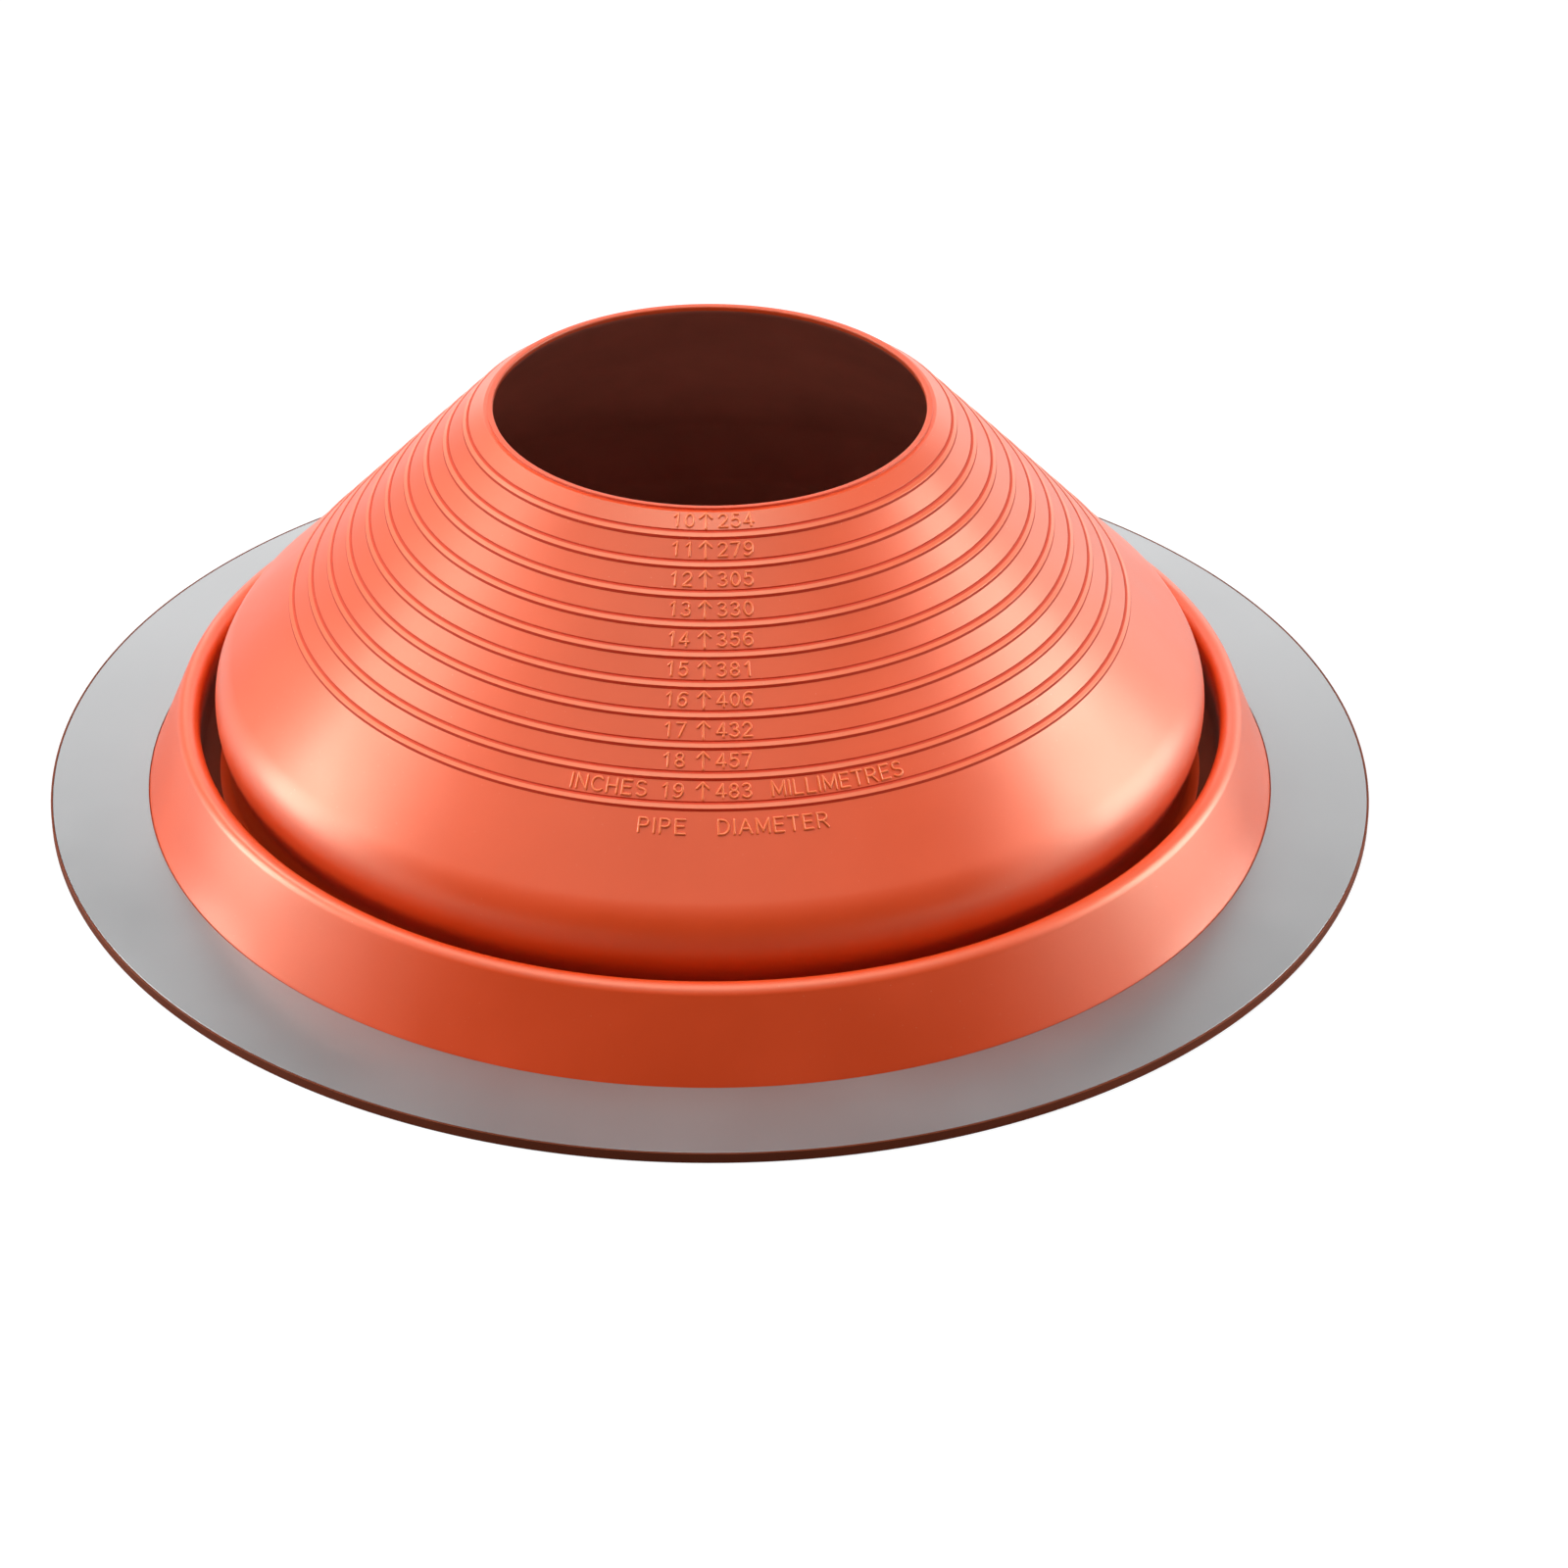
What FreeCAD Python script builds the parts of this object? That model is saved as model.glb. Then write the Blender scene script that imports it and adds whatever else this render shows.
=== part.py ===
import FreeCAD, Part
import math
import os

# Pipe flashing boot: a round moulded boot that seals a pipe where it passes through a roof.
# One rubber moulding rises from a flat skirt into a collar, folds down into a deep trough,
# swells into a belly and narrows as a ringed cone to the lip that grips the pipe.
# A flat aluminium ring is let into the top of the skirt.
# Millimetres, +Z up, origin on the axis in the plane of the underside.

# Skin of the moulding
wall = 3.0
skirt_thickness = 4.0

# Lip round the pipe opening
opening_radius = 101.6
lip_width = 4.6
lip_depth = 4.5
lip_step = 1.5

# Cutting rings: each flares out to a proud edge and ends in a steep riser
ring_count = 10
first_ring_reach = 11.45
first_ring_fall = 6.45
ring_pitch_out = 9.53
ring_pitch_down = 9.87
ring_width = 3.1
ring_fall = 3.44
riser_fall = 1.24
riser_width = 0.1
ring_foot_height = 101.28

# Belly below the rings
belly_reach = 38.08
belly_curve = 32.0
undercut_degrees = 25.0

# Trough between the belly and the collar
belly_gap = 8.3
trough_width = 13.2
trough_floor_height = 12.0

# Collar that stands round the belly
collar_lip_width = 11.0
collar_height = 45.5
collar_lean = 15.7

# Flange
flange_width = 47.5
edge_lip_width = 1.0
sheet_thickness = 1.0
sheet_clearance = 0.1

# Flats that make up each bend, few enough to keep the mesh of the turned solid light
belly_flat_count = 4
trough_flat_count = 3
collar_lip_flat_count = 4
inner_belly_flat_count = 2
inner_collar_flat_count = 1

# Heights worked out from the sizes above
base_height = skirt_thickness + sheet_thickness
first_ring_height = ring_foot_height + ring_fall + (ring_count - 1) * ring_pitch_down
top_height = first_ring_height + first_ring_fall

# Radii worked out from the middle outwards
first_ring_radius = opening_radius + first_ring_reach
ring_foot_radius = first_ring_radius + (ring_count - 1) * ring_pitch_out + ring_width
belly_radius = ring_foot_radius + belly_reach
collar_inner_radius = belly_radius + belly_gap
collar_lip_radius = collar_lip_width / 2
collar_lip_centre = collar_inner_radius + collar_lip_radius
collar_foot_radius = collar_inner_radius + collar_lip_width + collar_lean
flange_radius = collar_foot_radius + flange_width
trough_bend = trough_width / 2
trough_centre = collar_inner_radius - trough_bend
trough_inner_radius = collar_inner_radius - trough_width


def place(point):
    """Point of the section, given as radius and height, as a vector."""
    return FreeCAD.Vector(point[0], 0, point[1])


def at(centre, radius, degrees):
    """Point of a circle in the section, at an angle above the outward direction."""
    angle = math.radians(degrees)
    return (centre[0] + radius * math.cos(angle), centre[1] + radius * math.sin(angle))


class Section:
    """Closed outline in the radius-height plane, drawn edge by edge and turned about the axis."""

    def __init__(self, start):
        self.start = start
        self.last = start
        self.edges = []

    def line(self, *points):
        for point in points:
            self.edges.append(Part.makeLine(place(self.last), place(point)))
            self.last = point

    def bend(self, centre, radius, first, last, flat_count):
        """Round bend of equal flats from one angle to another, starting where the outline ends."""
        for step in range(1, flat_count + 1):
            self.line(at(centre, radius, first + (last - first) * step / flat_count))

    def turned(self):
        """Solid of revolution about the vertical axis."""
        self.line(self.start)
        face = Part.Face(Part.Wire(self.edges))
        shape = face.revolve(FreeCAD.Vector(0, 0, 0), FreeCAD.Vector(0, 0, 1), 360)
        solid = Part.Solid(shape.Shells[0])
        if solid.Volume < 0:
            solid.reverse()
        return solid


def ring_corners(index):
    """The three corners of one cutting ring, from its upper edge to its foot."""
    radius = first_ring_radius + index * ring_pitch_out
    height = first_ring_height - index * ring_pitch_down
    upper = (radius, height)
    proud_edge = (radius + ring_width - riser_width, height - ring_fall + riser_fall)
    foot = (radius + ring_width, height - ring_fall)
    return [upper, proud_edge, foot]


def band_slope():
    """Fall of the plain bands between the rings, in degrees from level."""
    return math.degrees(math.atan2(ring_pitch_down - ring_fall, ring_pitch_out - ring_width))


def belly_centre():
    """Centre of the belly's curve, which meets the last band and the widest radius smoothly."""
    slope = math.radians(band_slope())
    radius = belly_radius - belly_curve
    reach = (radius - ring_foot_radius) * math.sin(slope)
    return (radius, ring_foot_height - (belly_curve + reach) / math.cos(slope))


def collar_lean_degrees(lip):
    """Lean of the collar's wall, which runs from its foot to touch the round of its lip."""
    out = collar_foot_radius - lip[0]
    down = lip[1] - skirt_thickness
    touch = math.acos(collar_lip_radius / math.hypot(out, down))
    return math.degrees(touch - math.atan2(down, out))


def silicone_boot():
    """The one-piece moulding, drawn down its outside and back up its inside."""
    crown = 90 - band_slope()
    belly = belly_centre()
    trough = (trough_centre, trough_floor_height + trough_bend)
    lip = (collar_lip_centre, collar_height - collar_lip_radius)
    lean = collar_lean_degrees(lip)
    lip_outer = opening_radius + lip_width
    recess_radius = flange_radius - edge_lip_width

    outline = Section((opening_radius, top_height - lip_depth))

    # Top lip
    outline.line((opening_radius, top_height), (lip_outer, top_height))
    outline.line((lip_outer, top_height - lip_step))

    # Ringed cone
    for index in range(ring_count):
        outline.line(*ring_corners(index))

    # Belly, trough and collar
    outline.line(at(belly, belly_curve, crown))
    outline.bend(belly, belly_curve, crown, -undercut_degrees, belly_flat_count)
    outline.line((trough_inner_radius, trough[1]))
    outline.bend(trough, trough_bend, 180, 360, trough_flat_count)
    outline.line((collar_inner_radius, lip[1]))
    outline.bend(lip, collar_lip_radius, 180, lean, collar_lip_flat_count)

    # Skirt, with the shallow seat of the aluminium ring and the thin lip round its edge
    outline.line((collar_foot_radius, skirt_thickness))
    outline.line((recess_radius, skirt_thickness), (recess_radius, base_height))
    outline.line((flange_radius, base_height), (flange_radius, 0))
    hollow = collar_lip_radius - wall
    rise = lip[1] * math.sin(math.radians(lean))
    outline.line((lip[0] + (hollow + rise) / math.cos(math.radians(lean)), 0))

    # Inside of the collar, the trough and the belly
    outline.line(at(lip, hollow, lean))
    outline.bend(lip, hollow, lean, 180, inner_collar_flat_count)
    outline.line((collar_inner_radius + wall, trough[1]))
    outline.bend(trough, trough_bend + wall, 360, 180, trough_flat_count)
    outline.line(at(belly, belly_curve - wall, -undercut_degrees))
    outline.bend(belly, belly_curve - wall, -undercut_degrees, crown, inner_belly_flat_count)

    # Inside of the cone, as far as the underside of the lip
    outline.line(at((first_ring_radius, first_ring_height), -wall, crown))
    return outline.turned()


def aluminium_flange():
    """Flat ring cut from sheet, lying in the seat on top of the skirt."""
    inner = collar_foot_radius + sheet_clearance
    outer = flange_radius - edge_lip_width - sheet_clearance
    outline = Section((inner, skirt_thickness))
    outline.line((outer, skirt_thickness), (outer, base_height), (inner, base_height))
    return outline.turned()


os.makedirs("parts", exist_ok=True)
silicone_boot().exportStep("parts/silicone_boot.step")
aluminium_flange().exportStep("parts/aluminium_flange.step")
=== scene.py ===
import bpy
import math
import numpy as np
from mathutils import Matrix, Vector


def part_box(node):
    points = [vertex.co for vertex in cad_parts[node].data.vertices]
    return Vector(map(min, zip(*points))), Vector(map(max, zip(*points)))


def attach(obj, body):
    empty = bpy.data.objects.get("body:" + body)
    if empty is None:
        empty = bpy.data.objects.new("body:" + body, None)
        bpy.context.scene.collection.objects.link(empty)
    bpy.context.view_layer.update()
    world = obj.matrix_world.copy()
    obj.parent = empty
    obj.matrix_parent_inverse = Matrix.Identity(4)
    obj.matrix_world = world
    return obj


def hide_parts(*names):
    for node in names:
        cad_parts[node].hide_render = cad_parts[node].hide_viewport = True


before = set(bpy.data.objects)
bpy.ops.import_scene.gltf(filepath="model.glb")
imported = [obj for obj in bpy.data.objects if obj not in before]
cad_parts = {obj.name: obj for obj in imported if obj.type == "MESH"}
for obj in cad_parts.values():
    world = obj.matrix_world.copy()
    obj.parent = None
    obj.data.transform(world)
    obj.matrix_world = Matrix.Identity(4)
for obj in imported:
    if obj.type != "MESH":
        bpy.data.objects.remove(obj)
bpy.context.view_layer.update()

# Boot moulding
# One piece of satin orange silicone, moulded hot in a two-part steel tool: gripping lip, ringed
# cone, belly, folded trough, collar and flat skirt. The rim of the skirt is drawn dark brown and
# the inside a duller brown, as painted shade; the trough and the creases carry painted shade and
# the proud edges a painted highlight.

_, boot_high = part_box("silicone_boot")
top_height = boot_high.z
rim_radius = boot_high.x
wall = 0.003

lip_radius = 0.1016
lip_crest_width = 0.0028
lip_step_width = -0.0001
lip_step_fall = 0.0013
lip_shoulder_width = 0.0018
lip_depth = 0.0045
lip_wall_height = 0.0025
lip_wall_setback = 0.0012

ring_count = 10
first_ring = np.array([0.11305, 0.19355])
ring_pitch = np.array([0.00953, -0.00987])
ring_shape = np.array([
    [0.0, 0.0], [0.00005, -0.0006], [0.0013, -0.0009], [0.0029, -0.00198], [0.0031, -0.00344],
])

belly_radius = 0.240
belly_curve = 0.032
undercut = math.radians(25.0)
neck_curve = 0.008

trough_radii = (0.2351, 0.2483)
trough_bend = 0.0066
trough_floor_height = 0.012
collar_height = 0.0455
collar_lip_curve = 0.0055
collar_foot_radius = 0.275

skirt_height = 0.004
base_height = 0.005
rim_lip_width = 0.001


def unit(angle):
    """Direction at an angle from the outward axis of the section, as cosine and sine."""
    return np.stack([np.cos(angle), np.sin(angle)], axis=-1)


def left_of(angle):
    """Direction a quarter turn to the left of the given one, which is the outward side."""
    return np.stack([-np.sin(angle), np.cos(angle)], axis=-1)


def filleted(corners, radii, coarsest=math.radians(30.0), sag=0.00003):
    """Closed section with rounded corners, as points, outward normals and the corner of each point.

    Along a fillet the heading turns evenly from the run before the corner to the run after it.
    A point is the fillet's start plus the radius times the change in the left-hand direction.
    The number of points follows from the sag allowed between an arc and its chord.
    """
    ahead = np.roll(corners, -1, axis=0) - corners
    leaving = np.arctan2(ahead[:, 1], ahead[:, 0])
    arriving = np.roll(leaving, 1)
    turn = (leaving - arriving + np.pi) % (2 * np.pi) - np.pi
    step = np.minimum(coarsest, 2 * np.sqrt(2 * sag / radii))
    count = 1 + np.maximum(1, np.ceil(np.abs(turn) / step)).astype(int)
    corner = np.repeat(np.arange(len(corners)), count)
    place = np.arange(len(corner)) - np.repeat(np.cumsum(count) - count, count)
    heading = arriving[corner] + turn[corner] * place / (count[corner] - 1)
    start = corners - (radii * np.tan(np.abs(turn) / 2))[:, None] * unit(arriving)
    bend = (np.sign(turn) * radii)[corner][:, None]
    points = start[corner] + bend * (left_of(arriving)[corner] - left_of(heading))
    return points, left_of(heading), corner


def turned_mesh(name, points, normals, segments, finish=0, painted_light=0.0):
    """Mesh of a section turned about the vertical axis, with the section's own normals.

    The point at angle a is (radius cos a, radius sin a, height), and its normal turns with it.
    Its finish, the number of a material, goes round with it too, and so does its painted light,
    an attribute of the mesh that carries painted shade above zero and a painted highlight below.
    """
    angle = np.linspace(0, 2 * np.pi, segments, endpoint=False)
    spin = np.stack([np.cos(angle), np.sin(angle), np.ones(segments)], axis=-1)[:, None, :]
    grid = points[None, :, [0, 0, 1]] * spin
    facing = normals[None, :, [0, 0, 1]] * spin
    here = np.arange(segments * len(points)).reshape(segments, len(points))
    beside = np.roll(here, -1, axis=0)
    faces = np.stack([here, np.roll(here, -1, axis=1), np.roll(beside, -1, axis=1), beside], axis=-1)
    mesh = bpy.data.meshes.new(name)
    mesh.vertices.add(grid.size // 3)
    mesh.vertices.foreach_set("co", grid.astype(np.float32).ravel())
    mesh.loops.add(faces.size)
    mesh.loops.foreach_set("vertex_index", faces.astype(np.int32).ravel())
    mesh.polygons.add(faces.size // 4)
    mesh.polygons.foreach_set("loop_start", np.arange(0, faces.size, 4, dtype=np.int32))
    finishes = np.broadcast_to(finish, (segments, len(points))).astype(np.int32)
    mesh.polygons.foreach_set("material_index", finishes.ravel())
    mesh.update(calc_edges=True)
    mesh.shade_smooth()
    mesh.normals_split_custom_set_from_vertices(facing.reshape(-1, 3))
    painted_light_values = np.broadcast_to(painted_light, (segments, len(points))).astype(np.float32)
    mesh.attributes.new("painted_light", "FLOAT", "POINT").data.foreach_set("value", painted_light_values.ravel())
    return mesh


def add_piece(name, mesh, slot, *materials):
    """Object of a finished mesh that rides on the part and wears the given materials."""
    piece = bpy.data.objects.new(name, mesh)
    bpy.context.scene.collection.objects.link(piece)
    for material in materials:
        mesh.materials.append(material)
    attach(piece, "root")
    return piece


def inset(corners, depth):
    """Open line of corners moved to its right-hand side by a depth, with mitred corners."""
    run = np.diff(corners, axis=0)
    side = left_of(np.arctan2(run[:, 1], run[:, 0]))
    first = np.vstack([side[:1], side])
    second = np.vstack([side, side[-1:]])
    mitre = (first + second) / (1 + np.sum(first * second, axis=1))[:, None]
    return corners - depth * mitre


lip_corners = np.array([
    [lip_radius, top_height],
    [lip_radius + lip_crest_width, top_height],
    [lip_radius + lip_crest_width + lip_step_width, top_height - lip_step_fall],
    [lip_radius + lip_crest_width + lip_step_width + lip_shoulder_width, top_height - lip_step_fall],
])
lip_fillets = np.array([0.0011, 0.0003, 0.00012, 0.0003])

ring_starts = first_ring + np.arange(ring_count)[:, None] * ring_pitch
ring_corners = (ring_starts[:, None, :] + ring_shape[None, :, :]).reshape(-1, 2)
ring_fillets = np.tile([0.00012, 0.0002, 0.0004, 0.00035, 0.00012], ring_count)

last_foot = ring_corners[-1]
band = ring_pitch - ring_shape[-1]
band_slope = math.atan2(-band[1], band[0])
crown = math.pi / 2 - band_slope
belly_centre_radius = belly_radius - belly_curve
belly_rise = belly_curve + (belly_centre_radius - last_foot[0]) * math.sin(band_slope)
belly_centre = np.array([belly_centre_radius, last_foot[1] - belly_rise / math.cos(band_slope)])
belly_reach = belly_curve / math.cos((crown + undercut) / 2)
belly_corner = belly_centre + belly_reach * unit((crown - undercut) / 2)
neck_fall = (belly_corner[0] - trough_radii[0]) / math.tan(undercut)
neck_corner = np.array([trough_radii[0], belly_corner[1] - neck_fall])

collar_lip_centre = np.array([trough_radii[1] + collar_lip_curve, collar_height - collar_lip_curve])
foot_out = collar_foot_radius - collar_lip_centre[0]
foot_down = collar_lip_centre[1] - skirt_height
collar_touch = math.acos(collar_lip_curve / math.hypot(foot_out, foot_down))
collar_lean = collar_touch - math.atan2(foot_down, foot_out)
collar_crest_width = collar_lip_curve * (1 - math.sin(collar_lean)) / math.cos(collar_lean)

fold_corners = np.array([
    belly_corner,
    neck_corner,
    [trough_radii[0], trough_floor_height],
    [trough_radii[1], trough_floor_height],
    [trough_radii[1], collar_height],
    [collar_lip_centre[0] + collar_crest_width, collar_height],
])
fold_fillets = np.array([
    belly_curve, neck_curve, trough_bend, trough_bend, collar_lip_curve, collar_lip_curve,
])
fold_bulge = np.array([-1, 1, 1, 1, -1, -1])

skirt_corners = np.array([
    [collar_foot_radius, skirt_height],
    [rim_radius - rim_lip_width, skirt_height],
    [rim_radius - rim_lip_width, base_height],
    [rim_radius, base_height],
    [rim_radius, 0.0],
])
skirt_fillets = np.array([0.0003, 0.0001, 0.0003, 0.0003, 0.0003])

inner_line = inset(np.vstack([ring_starts[0], fold_corners, skirt_corners[0]]), wall)
foot_run = inner_line[-1] - inner_line[-2]
inner_foot = inner_line[-1] - foot_run * inner_line[-1][1] / foot_run[1]
lip_wall_corners = np.array([
    [lip_radius + lip_wall_setback, top_height - lip_depth],
    [lip_radius, top_height - lip_wall_height],
])
inner_foot_fillet = 0.0003
lip_wall_fillets = np.array([0.003, 0.0008, 0.0003])
inner_corners = np.vstack([inner_foot, inner_line[-2::-1], lip_wall_corners])
inner_fillets = np.hstack([
    inner_foot_fillet, (fold_fillets + wall * fold_bulge)[::-1], lip_wall_fillets,
])

boot_corners = np.vstack([lip_corners, ring_corners, fold_corners, skirt_corners, inner_corners])
boot_fillets = np.hstack([lip_fillets, ring_fillets, fold_fillets, skirt_fillets, inner_fillets])
boot_points, boot_normals, boot_corner = filleted(boot_corners, boot_fillets)

# Finishes: the outer skin, then the rim's three last corners in a dark brown painted shade, then
# the inside in a duller brown painted shade. The wall of the lip in the mouth ends the section
# and has the outer skin again.
inside_from = len(boot_corners) - len(inner_corners)
rim_from = inside_from - 3
lip_wall_from = len(boot_corners) - 1
boot_finish = (boot_corner >= rim_from).astype(int) + (boot_corner >= inside_from)
boot_finish[boot_corner == lip_wall_from] = 0

# Painted light: up to one is painted shade, in the creases and on the lip's crest; below zero is a
# painted highlight, on a flare or a proud edge.
ring_from = len(lip_corners)
ring_corner = (boot_corner - ring_from) % len(ring_shape)
on_rings = (boot_corner >= ring_from) & (boot_corner < ring_from + len(ring_corners))
steepest_level = 0.35
upright = np.abs(boot_normals[:, 1]) < steepest_level
fillet_end = np.roll(boot_corner, -1) != boot_corner
boot_painted_light = np.zeros(len(boot_corner))
for place, amount in (
    (on_rings & (ring_corner == 0) & upright, 0.9),  # drop below a band
    (on_rings & (ring_corner == 1), 1.0),  # foot of the drop
    (on_rings & (ring_corner == 2) & ~fillet_end, 0.65),  # groove
    (on_rings & (ring_corner == 2) & fillet_end, -0.2),  # flare
    (on_rings & (ring_corner == 3) & ~upright, -0.28),  # proud edge
    (on_rings & (ring_corner >= 3) & upright, 1.0),  # riser
    ((boot_corner <= 1) & ~upright, 0.25),  # crest of the lip
    (((boot_corner == 1) | (boot_corner == 2)) & upright, 0.45),  # step of the lip
):
    boot_painted_light[place] = amount

turn_segments = 288
boot_mesh = turned_mesh(
    "boot_moulding", boot_points, boot_normals, turn_segments, boot_finish, boot_painted_light,
)


def new_material(name, roughness, specular=0.5):
    """Material with one Principled shader, returned with its node tree and that shader."""
    material = bpy.data.materials.new(name)
    material.use_nodes = True
    tree = material.node_tree
    shader = tree.nodes["Principled BSDF"]
    shader.inputs["Roughness"].default_value = roughness
    shader.inputs["Specular IOR Level"].default_value = specular
    return material, tree, shader


def srgb(red, green, blue):
    """Colour given as eight-bit display values, turned into the linear values a shader takes."""
    shown = np.array([red, green, blue]) / 255
    linear = np.where(shown > 0.04045, ((shown + 0.055) / 1.055) ** 2.4, shown / 12.92)
    return (*linear, 1.0)


def feed(tree, node, values):
    """Feed a node's inputs, by name or place, with plain values or with other nodes' outputs."""
    for key, value in values.items():
        if isinstance(value, bpy.types.NodeSocket):
            tree.links.new(value, node.inputs[key])
        else:
            node.inputs[key].default_value = value


def calculated(tree, operation, *values, clamp=False):
    """Result of a Math node."""
    node = tree.nodes.new("ShaderNodeMath")
    node.operation = operation
    node.use_clamp = clamp
    feed(tree, node, dict(enumerate(values)))
    return node.outputs["Value"]


def ranged(tree, value, first, last, low=0.0, high=1.0):
    """Value whose run from first to last becomes low to high, and stays there beyond."""
    node = tree.nodes.new("ShaderNodeMapRange")
    ends = {"From Min": first, "From Max": last, "To Min": low, "To Max": high}
    feed(tree, node, {"Value": value, **ends})
    return node.outputs["Result"]


def noise(tree, vector, scale, detail=2.0):
    """Value that wanders softly about a half from place to place."""
    node = tree.nodes.new("ShaderNodeTexNoise")
    feed(tree, node, {"Vector": vector, "Scale": scale, "Detail": detail})
    return node.outputs["Fac"]


def blend(tree, share, first, second):
    """Colour mixed from the first towards the second."""
    node = tree.nodes.new("ShaderNodeMix")
    node.data_type = "RGBA"
    feed(tree, node, {"Factor": share, "A": first, "B": second})
    return node.outputs["Result"]


def bumped(tree, height, strength, distance):
    """Normal of a relief, which a height of one raises by the distance at full strength."""
    node = tree.nodes.new("ShaderNodeBump")
    feed(tree, node, {"Height": height, "Strength": strength, "Distance": distance})
    return node.outputs["Normal"]


def axes(tree, vector):
    """The outputs X, Y and Z of a vector."""
    node = tree.nodes.new("ShaderNodeSeparateXYZ")
    feed(tree, node, {"Vector": vector})
    return node.outputs


def length(tree, vector):
    """Length of a vector."""
    node = tree.nodes.new("ShaderNodeVectorMath")
    node.operation = "LENGTH"
    feed(tree, node, {0: vector})
    return node.outputs["Value"]


def skin_group():
    """Node group of a moulded rubber skin, from object coordinates.

    Colour drifts a little in broad clouds and carries pale dust specks; the height joins a fine
    pebble from the tool's face with the specks; the roughness rises where there is dust. Down in
    the trough, told by its radii and height, the colour is darkened as painted shade and the
    roughness rises. The same happens in the creases that the mesh's own attribute marks, there
    towards its own painted shade colour. Below zero that attribute marks proud edges, which get a
    paler colour as a painted highlight.
    """
    group = bpy.data.node_groups.new("moulded_skin", "ShaderNodeTree")
    face = group.interface
    for label, kind, value in (
        ("Colour", "NodeSocketColor", (0.8, 0.2, 0.1, 1.0)),
        ("Dust colour", "NodeSocketColor", (0.9, 0.6, 0.5, 1.0)),
        ("Painted shade colour", "NodeSocketColor", (0.52, 0.011, 0.002, 1.0)),
        ("Painted highlight colour", "NodeSocketColor", (0.95, 0.20, 0.06, 1.0)),
        ("Cloud amount", "NodeSocketFloat", 0.08),
        ("Dust amount", "NodeSocketFloat", 0.5),
        ("Roughness", "NodeSocketFloat", 0.45),
        ("Relief", "NodeSocketFloat", 0.15),
        ("Recess shade", "NodeSocketFloat", 0.0),
        ("Crease shade", "NodeSocketFloat", 0.0),
    ):
        face.new_socket(label, in_out="INPUT", socket_type=kind).default_value = value
    face.new_socket("Colour", in_out="OUTPUT", socket_type="NodeSocketColor")
    face.new_socket("Roughness", in_out="OUTPUT", socket_type="NodeSocketFloat")
    face.new_socket("Normal", in_out="OUTPUT", socket_type="NodeSocketVector")
    given = group.nodes.new("NodeGroupInput").outputs
    result = group.nodes.new("NodeGroupOutput")
    place = group.nodes.new("ShaderNodeTexCoord").outputs["Object"]

    # Painted shade: between these radii and below these heights the trough's skin is darkened.
    trough_radius, trough_reach = 0.2445, 0.0045
    trough_top, trough_deep = 0.040, 0.028
    spot = axes(group, place)
    level = group.nodes.new("ShaderNodeCombineXYZ")
    feed(group, level, {"X": spot["X"], "Y": spot["Y"]})
    radius = length(group, level.outputs["Vector"])
    in_trough = calculated(group, "COMPARE", radius, trough_radius, trough_reach)
    deep = calculated(group, "MULTIPLY", in_trough, ranged(group, spot["Z"], trough_top, trough_deep))
    trough_shade = calculated(group, "MULTIPLY", deep, given["Recess shade"])
    # Painted light from the mesh attribute: painted shade towards a dark red in the creases, and a
    # painted highlight towards a paler orange on proud edges.
    marked = group.nodes.new("ShaderNodeAttribute")
    marked.attribute_name = "painted_light"
    painted_light = calculated(group, "MULTIPLY", marked.outputs["Fac"], given["Crease shade"])
    proud = calculated(group, "MULTIPLY", marked.outputs["Fac"], -1.0)

    clouds = ranged(group, noise(group, place, scale=14.0, detail=4.0), 0.3, 0.7, low=-1.0)
    drift = calculated(group, "MULTIPLY_ADD", clouds, given["Cloud amount"], 1.0)
    tinted = group.nodes.new("ShaderNodeVectorMath")
    tinted.operation = "SCALE"
    shade = calculated(group, "SUBTRACT", drift, trough_shade)
    feed(group, tinted, {0: given["Colour"], "Scale": shade})
    crease_shaded = blend(group, painted_light, tinted.outputs["Vector"], given["Painted shade colour"])
    highlit = blend(group, proud, crease_shaded, given["Painted highlight colour"])

    specks = group.nodes.new("ShaderNodeTexVoronoi")
    feed(group, specks, {"Vector": place, "Scale": 260.0})
    speck_size = ranged(group, specks.outputs["Distance"], 0.07, 0.0)
    speck_patches = ranged(group, noise(group, place, scale=22.0), 0.45, 0.65)
    speck_mask = calculated(group, "MULTIPLY", speck_size, speck_patches)
    dust = calculated(group, "MULTIPLY", speck_mask, given["Dust amount"], clamp=True)

    cloud_roughness, dust_roughness, sunk_roughness = 0.05, 0.3, 0.9
    cloudy = calculated(group, "MULTIPLY_ADD", clouds, cloud_roughness, given["Roughness"])
    dusty = calculated(group, "MULTIPLY_ADD", dust, dust_roughness, cloudy)
    sunk = calculated(group, "MAXIMUM", trough_shade, painted_light)
    dull = calculated(group, "MULTIPLY_ADD", sunk, sunk_roughness, dusty)

    pebble = noise(group, place, scale=900.0, detail=3.0)
    height = calculated(group, "ADD", pebble, speck_mask)
    feed(group, result, {
        "Colour": blend(group, dust, highlit, given["Dust colour"]),
        "Roughness": dull,
        "Normal": bumped(group, height, given["Relief"], distance=0.0001),
    })
    return group


moulded_skin = skin_group()


def skin_material(name, colour, dust_colour, roughness, specular, **amounts):
    """Material that wears the moulded skin with its own colours and amounts."""
    material, tree, shader = new_material(name, roughness, specular)
    shader.inputs["Specular Tint"].default_value = (1.0, 1.0, 0.76, 1.0)
    skin = tree.nodes.new("ShaderNodeGroup")
    skin.node_tree = moulded_skin
    feed(tree, skin, {"Colour": colour, "Dust colour": dust_colour, "Roughness": roughness})
    feed(tree, skin, {
        label.replace("_", " ").capitalize(): value for label, value in amounts.items()
    })
    worn = skin.outputs
    feed(tree, shader, {
        "Base Color": worn["Colour"], "Roughness": worn["Roughness"], "Normal": worn["Normal"],
    })
    return material


# The recess and crease amounts set the painted shade in the trough and in the creases.
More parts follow.
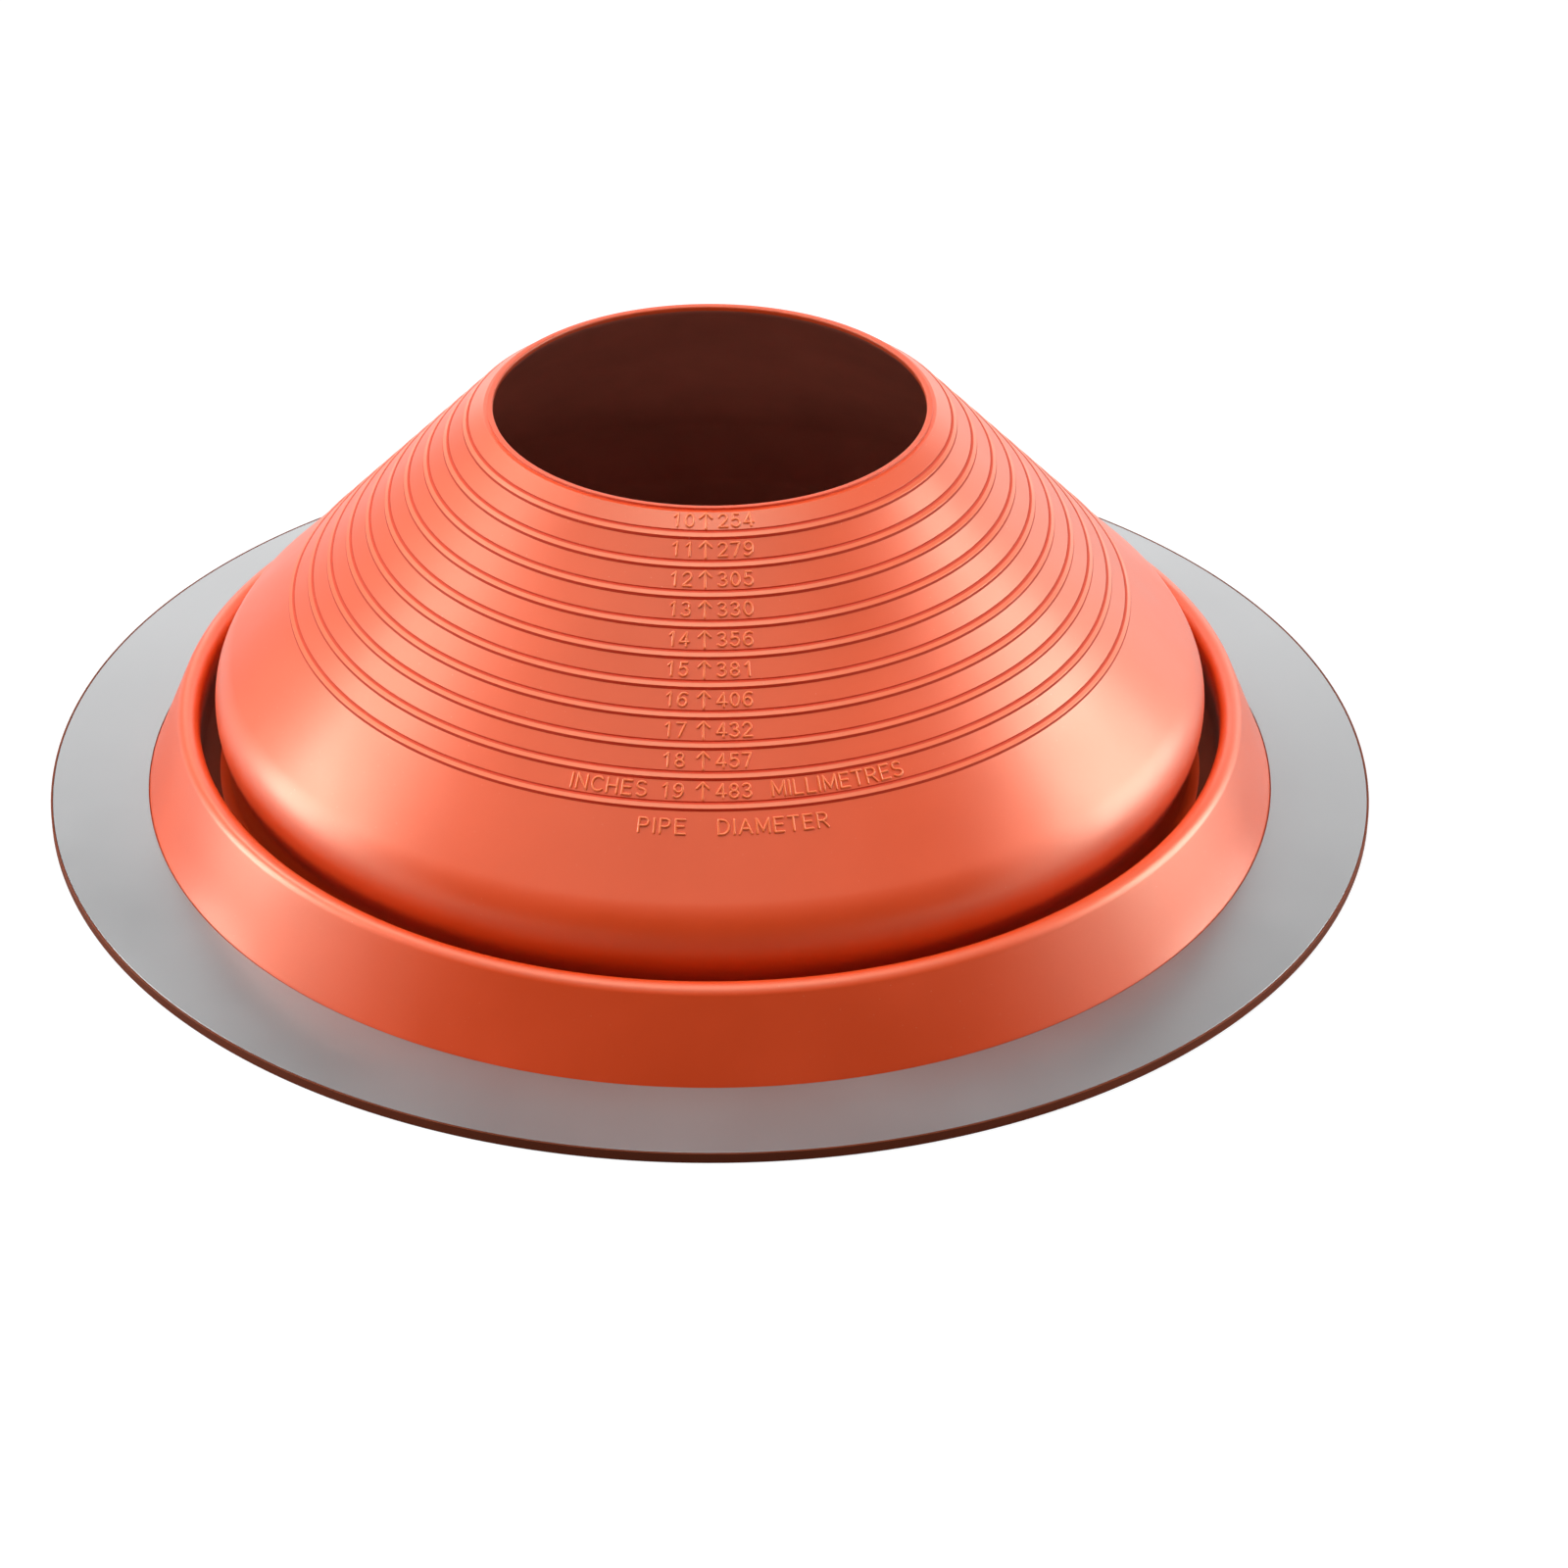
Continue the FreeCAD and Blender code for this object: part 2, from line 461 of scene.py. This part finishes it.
orange_silicone = skin_material(
    "orange_silicone", srgb(229, 70, 16), srgb(250, 190, 160), 0.4, 1.0,
    cloud_amount=0.05, dust_amount=0.6, relief=0.2, recess_shade=0.8, crease_shade=0.75,
)
# Painted shade: the rim's dark brown and the inside's duller brown stand in for shade on the orange
# silicone.
rim_painted_shade = skin_material(
    "rim_painted_shade", srgb(112, 50, 30), srgb(170, 110, 90), 0.7, 0.2,
    cloud_amount=0.12, dust_amount=0.3, relief=0.3,
)
inside_painted_shade = skin_material(
    "inside_painted_shade", srgb(196, 116, 98), srgb(200, 140, 120), 0.8, 0.1,
    cloud_amount=0.12, dust_amount=0.3, relief=0.3,
)
boot = add_piece("boot_moulding", boot_mesh, "silicone", orange_silicone, rim_painted_shade, inside_painted_shade)
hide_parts("silicone_boot")

# Size marks
# Plain figures, arrows and words that stand proud of the bands as rounded ridges. They are
# moulded with the boot, in the same silicone, drawn paler as a painted highlight on the ridges.
# Each band carries the pipe size of its ring.

figure_height = 0.0073
word_height = 0.0076
arrow_height = 0.0088
ridge_radius = 0.0006
ridge_lift = 0.00015
ridge_sides = 8
stroke_points = 13
inch_sizes = ["10", "11", "12", "13", "14", "15", "16", "17", "18", "19"]
millimetre_sizes = ["254", "279", "305", "330", "356", "381", "406", "432", "457", "483"]

band_tops = np.vstack([lip_corners[-1], ring_starts + ring_shape[-1]])
band_ends = np.vstack([ring_starts, ring_starts[-1:] + ring_pitch])
band_middles = (band_tops + band_ends) / 2
band_headings = np.arctan2(*(band_ends - band_tops).T[::-1])
below_rings = 0.0070  # from the last ring down to the middle of the words under it
band_middles[-1] = last_foot + below_rings * unit(-band_slope)
band_headings[-1] = -band_slope


def bow(across, up, reach_across, reach_up, first, last):
    """Curved stroke of a figure: an elliptical arc about a centre, between two angles in degrees."""
    angle = np.radians(np.linspace(first, last, stroke_points))
    return [np.array([across, up]) + np.array([reach_across, reach_up]) * unit(angle)]


def bars(*corners):
    """Straight strokes of a figure: each runs evenly from one corner to the next."""
    corner = np.array(corners, dtype=float)
    share = np.linspace(0, 1, stroke_points)[:, None]
    return list(corner[:-1, None] + share * (corner[1:] - corner[:-1])[:, None])


# Each figure is its width and its strokes, for a height of one.
letter_p = bars([0.0, 0.0], [0.0, 1.0], [0.36, 1.0]) + bow(0.36, 0.73, 0.29, 0.27, 90, -90)
letter_p += bars([0.36, 0.46], [0.0, 0.46])
figures = {
    "0": (0.6, bow(0.3, 0.5, 0.3, 0.5, 90, 450)),
    "1": (0.6, bars([0.16, 0.78], [0.4, 1.0], [0.4, 0.0])),
    "2": (0.6, bow(0.3, 0.71, 0.29, 0.29, 165, -35) + bars([0.54, 0.54], [0.0, 0.0], [0.6, 0.0])),
    "3": (0.6, bow(0.28, 0.755, 0.26, 0.245, 150, -90) + bow(0.28, 0.26, 0.31, 0.26, 90, -150)),
    "4": (0.65, bars([0.47, 0.0], [0.47, 1.0], [0.0, 0.28], [0.65, 0.28])),
    "5": (0.6, bars([0.54, 1.0], [0.12, 1.0], [0.07, 0.56]) + bow(0.28, 0.32, 0.31, 0.32, 132, -150)),
    "6": (0.6, bow(0.42, 0.42, 0.42, 0.58, 62, 190) + bow(0.3, 0.31, 0.3, 0.31, 90, 450)),
    "7": (0.6, bars([0.0, 1.0], [0.6, 1.0], [0.2, 0.0])),
    "8": (0.6, bow(0.3, 0.755, 0.25, 0.245, 90, 450) + bow(0.3, 0.255, 0.3, 0.255, 90, 450)),
    "9": (0.6, bow(0.18, 0.58, 0.42, 0.58, -118, 10) + bow(0.3, 0.69, 0.3, 0.31, 90, 450)),
    "A": (0.82, bars([0.0, 0.0], [0.41, 1.0], [0.82, 0.0]) + bars([0.14, 0.34], [0.68, 0.34])),
    "C": (0.72, bow(0.42, 0.5, 0.42, 0.5, 48, 312)),
    "D": (
        0.72,
        bars([0.26, 0.0], [0.0, 0.0], [0.0, 1.0], [0.26, 1.0]) + bow(0.26, 0.5, 0.46, 0.5, 90, -90),
    ),
    "E": (
        0.62,
        bars([0.62, 1.0], [0.0, 1.0], [0.0, 0.0], [0.62, 0.0]) + bars([0.0, 0.52], [0.54, 0.52]),
    ),
    "H": (
        0.68,
        bars([0.0, 0.0], [0.0, 1.0]) + bars([0.68, 0.0], [0.68, 1.0])
        + bars([0.0, 0.5], [0.68, 0.5]),
    ),
    "I": (0.0, bars([0.0, 0.0], [0.0, 1.0])),
    "L": (0.56, bars([0.0, 1.0], [0.0, 0.0], [0.56, 0.0])),
    "M": (0.84, bars([0.0, 0.0], [0.0, 1.0], [0.42, 0.14], [0.84, 1.0], [0.84, 0.0])),
    "N": (0.70, bars([0.0, 0.0], [0.0, 1.0], [0.70, 0.0], [0.70, 1.0])),
    "P": (0.65, letter_p),
    "R": (0.70, letter_p + bars([0.36, 0.46], [0.70, 0.0])),
    "S": (0.66, bow(0.33, 0.75, 0.30, 0.25, 35, 270) + bow(0.33, 0.25, 0.33, 0.25, 90, -145)),
    "T": (0.68, bars([0.0, 1.0], [0.68, 1.0]) + bars([0.34, 1.0], [0.34, 0.0])),
    "arrow": (0.68, bars([0.34, 0.0], [0.34, 1.0]) + bars([0.0, 0.66], [0.34, 1.0], [0.68, 0.66])),
}


def ridges(name, lines, height, across, span, turn=0.0, row=0):
    """Mesh of lines of figures, one for each band from the given row down, as rounded ridges.

    The figures of a line spread evenly over the span. Each stroke is a round bar along its path:
    a point is the path's point plus the radius times the cosine of its angle to the left and the
    sine of it off the band, and towards each end the radius falls as on a ball. The distance
    along the line becomes an angle about the axis, added to the given turn; the height in the
    line becomes a distance up the band.
    """
    size = height - 2 * ridge_radius
    paths, bands = [], []
    for line, marks in enumerate(lines):
        widths = [figures[mark][0] * size for mark in marks]
        gap = (span - sum(widths)) / max(1, len(marks) - 1)
        left = across
        for mark, width in zip(marks, widths):
            paths += [stroke * size + [left, 0] for stroke in figures[mark][1]]
            bands += [row + line] * len(figures[mark][1])
            left += width + gap
    path = np.array(paths)
    ahead = np.gradient(path, axis=1)
    ahead /= np.linalg.norm(ahead, axis=2, keepdims=True)
    cap_degrees = np.array([28, 55, 85])
    last = path.shape[1] - 1
    spot = np.clip(np.arange(-len(cap_degrees), last + 1 + len(cap_degrees)), 0, last)
    swell = np.radians(np.hstack([-cap_degrees[::-1], np.zeros(last + 1), cap_degrees]))
    around = np.linspace(0, 2 * np.pi, ridge_sides, endpoint=False)
    reach = (ridge_radius * np.cos(swell))[:, None]
    line_point = path[:, spot] + ridge_radius * np.sin(swell)[:, None] * ahead[:, spot]
    leftward = ahead[:, spot, ::-1] * [-1, 1]
    sway = (reach * np.cos(around))[None, :, :, None] * leftward[:, :, None]
    flat = line_point[:, :, None] + sway
    lift = ridge_lift + reach * np.sin(around)

    middle = band_middles[bands][:, None, None]
    heading = band_headings[bands][:, None, None]
    rise = flat[..., 1:] - size / 2
    section = middle - rise * unit(heading) + lift[None, :, :, None] * left_of(heading)
    angle = flat[..., 0] / middle[..., 0] + turn - math.pi / 2
    radius, level = section[..., 0], section[..., 1]
    place = np.stack([radius * np.cos(angle), radius * np.sin(angle), level], axis=-1)

    here = np.arange(place.size // 3).reshape(place.shape[:3])
    beside = np.roll(here, -1, axis=2)
    sides = np.stack([here[:, :-1], beside[:, :-1], beside[:, 1:], here[:, 1:]], axis=-1)
    ends = np.vstack([here[:, 0, ::-1], here[:, -1]])
    faces = sides.reshape(-1, 4).tolist() + ends.tolist()
    mesh = bpy.data.meshes.new(name)
    mesh.from_pydata(place.reshape(-1, 3).tolist(), [], faces)
    mesh.update()
    mesh.shade_smooth()
    return mesh


last_band = ring_count - 1
under_rings = ring_count
inch_turn, millimetre_turn, arrow_turn = np.radians([-3.2, -0.75, -0.9])
arrows = [["arrow"]] * ring_count
mark_meshes = [
    ridges("inch_sizes", inch_sizes, figure_height, -0.0105, 0.0095, inch_turn),
    ridges("millimetre_sizes", millimetre_sizes, figure_height, 0.0055, 0.0152, millimetre_turn),
    ridges("size_arrows", arrows, arrow_height, -0.0026, 0.0, arrow_turn),
    ridges("word_inches", ["INCHES"], word_height, -0.0617, 0.0336, row=last_band),
    ridges("word_millimetres", ["MILLIMETRES"], word_height, 0.0277, 0.0600, row=last_band),
    ridges("word_pipe", ["PIPE"], word_height, -0.0313, 0.0203, row=under_rings),
    ridges("word_diameter", ["DIAMETER"], word_height, 0.0038, 0.0485, row=under_rings),
]
# Painted highlight: the marks' colour is paler than the boot's, standing in for light on the ridges;
# their dust specks are real dust.
highlight_painted_silicone = skin_material(
    "highlight_painted_silicone", srgb(242, 104, 46), srgb(250, 200, 170), 0.38, 1.0,
    cloud_amount=0.06, dust_amount=0.8, relief=0.15,
)
for mesh in mark_meshes:
    add_piece(mesh.name, mesh, "silicone", highlight_painted_silicone)

# Aluminium ring
# A flat ring blanked from 1 mm rolled sheet. It lies in the shallow seat of the skirt between
# the collar's foot and the rim, bonded there, and is dressed down to the roof on site.

sheet_low, sheet_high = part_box("aluminium_flange")
sheet_clearance = 0.0001
sheet_fillet = 0.0002
sheet_inner_radius = collar_foot_radius + sheet_clearance
sheet_corners = np.array([
    [sheet_inner_radius, sheet_high.z],
    [sheet_high.x, sheet_high.z],
    [sheet_high.x, sheet_low.z],
    [sheet_inner_radius, sheet_low.z],
])
sheet_points, sheet_normals, _ = filleted(sheet_corners, np.full(len(sheet_corners), sheet_fillet))
sheet_mesh = turned_mesh("aluminium_ring", sheet_points, sheet_normals, turn_segments)


def rolled_aluminium():
    """Satin rolled sheet: faint straight rolling lines, and clouds in its tone and roughness."""
    material, tree, shader = new_material("rolled_aluminium", 0.34)
    place = tree.nodes.new("ShaderNodeTexCoord").outputs["Object"]
    along = tree.nodes.new("ShaderNodeMapping")
    feed(tree, along, {"Vector": place, "Scale": (6.0, 900.0, 1.0)})
    lines = noise(tree, along.outputs["Vector"], scale=1.0, detail=3.0)
    clouds = noise(tree, place, scale=9.0, detail=5.0)
    tone = ranged(tree, clouds, 0.25, 0.75, low=0.3, high=0.7)
    feed(tree, shader, {
        "Base Color": blend(tree, tone, srgb(144, 145, 146), srgb(158, 159, 160)),
        "Metallic": 0.72,
        "Roughness": ranged(tree, clouds, 0.25, 0.75, low=0.29, high=0.39),
        "Normal": bumped(tree, lines, strength=0.12, distance=0.00005),
    })
    return material


sheet = add_piece("aluminium_ring", sheet_mesh, "aluminium", rolled_aluminium())
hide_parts("aluminium_flange")

# Floor
# A plain pale floor under the part. It shows white to the camera and keeps a soft shadow.

floor_reach = 6.0
floor_height = -0.0002
hollow_edge = (0.29, 0.30)
floor_corners = [
    (-floor_reach, -floor_reach, floor_height), (floor_reach, -floor_reach, floor_height),
    (floor_reach, floor_reach, floor_height), (-floor_reach, floor_reach, floor_height),
]
floor_mesh = bpy.data.meshes.new("floor")
floor_mesh.from_pydata(floor_corners, [], [(0, 1, 2, 3)])
floor = bpy.data.objects.new("floor", floor_mesh)
bpy.context.scene.collection.objects.link(floor)


def floor_material():
    """Pale floor: plain white to the camera outside the part, dark in the hollow under it.

    In the part's own shine only the floor beside and behind it is white.
    """
    material, tree, shader = new_material("pale_floor", 0.9, 0.0)
    ray = tree.nodes.new("ShaderNodeLightPath").outputs
    place = tree.nodes.new("ShaderNodeTexCoord").outputs["Object"]
    outside = ranged(tree, length(tree, place), *hollow_edge)
    spot = axes(tree, place)
    behind = ranged(tree, spot["Y"], -0.2, 0.3)
    beside = ranged(tree, calculated(tree, "ABSOLUTE", spot["X"]), 0.3, 0.45)
    around = calculated(tree, "MAXIMUM", behind, beside)
    mirrored = calculated(tree, "MULTIPLY", ray["Is Glossy Ray"], around)
    glow = calculated(tree, "MAXIMUM", ray["Is Camera Ray"], mirrored)
    shown = calculated(tree, "MULTIPLY", glow, outside)
    brighter = ranged(tree, ray["Is Glossy Ray"], 0.0, 1.0, low=0.85)
    hollow_colour, open_colour = (0.55, 0.45, 0.4, 1.0), (0.25, 0.25, 0.25, 1.0)
    feed(tree, shader, {
        "Base Color": blend(tree, outside, hollow_colour, open_colour),
        "Emission Color": (1.0, 1.0, 1.0, 1.0),
        "Emission Strength": calculated(tree, "MULTIPLY", shown, brighter),
    })
    return material


floor_mesh.materials.append(floor_material())

# Light
# Lamps give the plain light, a large one overhead and a small low one on each side. Cards show
# only as reflections: the pale bands on the cone, the belly and the collar. The room is dim and
# is plain white to the camera; in the part's shine its ceiling and far wall are brighter.

world = bpy.data.worlds.new("room")
bpy.context.scene.world = world
world.use_nodes = True
room = world.node_tree


def glowing(strength):
    """Pale background of the room with the given strength."""
    node = room.nodes.new("ShaderNodeBackground")
    feed(room, node, {"Strength": strength})
    return node.outputs["Background"]


def switched(share, first, second):
    """The first shader where the share is zero and the second where it is one."""
    node = room.nodes.new("ShaderNodeMixShader")
    feed(room, node, {"Fac": share, 1: first, 2: second})
    return node.outputs["Shader"]


dim = room.nodes["Background"]
feed(room, dim, {"Color": (1.0, 1.0, 1.0, 1.0), "Strength": 0.12})
seen = room.nodes.new("ShaderNodeLightPath").outputs
outlook = axes(room, room.nodes.new("ShaderNodeTexCoord").outputs["Generated"])
ceiling = ranged(room, outlook["Z"], 0.45, 0.85)
far_side = ranged(room, outlook["Y"], 0.1, 0.5)
far_wall = calculated(room, "MULTIPLY", far_side, ranged(room, outlook["Z"], 0.7, 0.4, high=0.85))
mirrored = glowing(calculated(room, "MAXIMUM", ceiling, far_wall))
unseen = switched(seen["Is Glossy Ray"], dim.outputs["Background"], mirrored)
shown = switched(seen["Is Camera Ray"], unseen, glowing(1.0))
feed(room, room.nodes["World Output"], {"Surface": shown})


def softbox(name, place, aim, width, height, power, diffuse=True, glossy=True):
    """Rectangular soft lamp that faces a point, for plain light, for reflections or for both."""
    lamp = bpy.data.lights.new(name, "AREA")
    lamp.shape = "RECTANGLE"
    lamp.size = width
    lamp.size_y = height
    lamp.energy = power
    holder = bpy.data.objects.new(name, lamp)
    bpy.context.scene.collection.objects.link(holder)
    holder.location = place
    holder.visible_diffuse = diffuse
    holder.visible_glossy = glossy
    across, away, up = np.array(aim) - np.array(place)
    holder.rotation_euler = (
        math.atan2(math.hypot(across, away), -up), 0.0, math.atan2(-across, away),
    )


softbox("top_light", (-0.4, -0.06, 1.9), (-0.4, -0.06, 0.0), 2.4, 1.6, 47.5, glossy=False)
softbox("left_light", (-1.12, -0.40, 0.16), (0.0, 0.0, 0.06), 0.5, 0.28, 4.1, glossy=False)
softbox("right_light", (1.12, -0.40, 0.16), (0.0, 0.0, 0.06), 0.5, 0.28, 4.1, glossy=False)
softbox("top_card", (0.0, -0.1, 1.85), (0.0, -0.1, 0.0), 1.1, 1.0, 9.0, diffuse=False)
softbox("edge_card", (-0.9, 0.67, 1.2), (0.0, 0.0, 0.12), 0.5, 0.5, 6.3, diffuse=False)
softbox("left_card", (-1.15, 0.04, 0.42), (0.0, 0.0, 0.42), 0.4, 0.84, 13.0, diffuse=False)
softbox("right_card", (1.13, 0.12, 0.42), (0.0, 0.0, 0.42), 0.6, 0.84, 16.5, diffuse=False)
softbox("back_card", (0.45, 1.4, 0.47), (0.45, 0.0, 0.1), 2.7, 0.75, 14.5, diffuse=False)

# Camera
# The photograph's view: from the front and above, with a long lens and the part left of centre.

view_height = -0.0124
view_distance = 2.035
view_elevation = math.radians(32.41)
camera_lens = bpy.data.cameras.new("camera")
camera_lens.sensor_width = 36.0
camera_lens.lens = 94.2
camera_lens.shift_x = 0.0473
camera_lens.clip_end = 30.0
camera = bpy.data.objects.new("camera", camera_lens)
bpy.context.scene.collection.objects.link(camera)
camera.location = (
    0.0,
    -view_distance * math.cos(view_elevation),
    view_height + view_distance * math.sin(view_elevation),
)
camera.rotation_euler = (math.pi / 2 - view_elevation, 0.0, 0.0)
bpy.context.scene.camera = camera
bpy.context.scene.view_settings.view_transform = "Standard"
